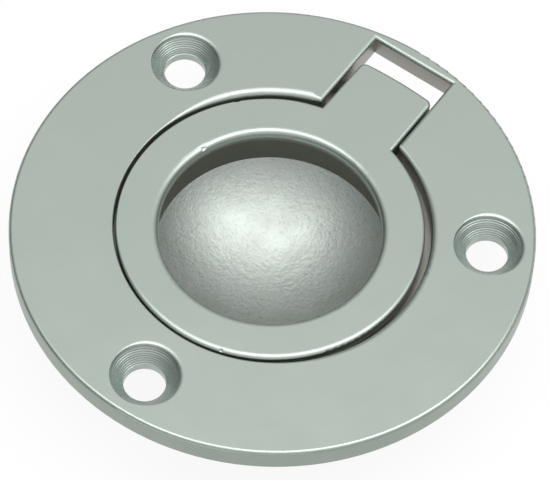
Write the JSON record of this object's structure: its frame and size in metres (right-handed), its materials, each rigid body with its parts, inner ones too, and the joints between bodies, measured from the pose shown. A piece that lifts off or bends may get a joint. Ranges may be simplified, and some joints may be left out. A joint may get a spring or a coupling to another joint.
{
  "type": "recessed pull handle",
  "caption": "Round flush ring pull: countersunk face plate with a dished finger cup and a hinged ring that folds flat into its recess.",
  "frame": {"origin": "centre of the three screw holes' circle, in the plane of the plate's back face that seats on the door", "axes": "+Z out of the face towards the hand, +Y from the finger cup towards the ring's hinge, +X along the hinge pin"},
  "size_m": [0.0636, 0.0636, 0.0148],
  "materials": {
    "plate_casting": "satin chrome plated",
    "ring_casting": "satin chrome plated",
    "pin_steel": "drawn, ends peened flush"
  },
  "bodies": {
    "base": {"flush_plate": "plate_casting", "hinge_pin": "pin_steel"},
    "ring": {"pull_ring": "ring_casting"}
  },
  "joints": [
    {"name": "ring_hinge", "type": "hinge", "parent": "base", "child": "ring", "pos_m": [0, 0.0238, -0.00155], "axis": [-1, 0, 0], "range_deg": [0, 108]}
  ]
}
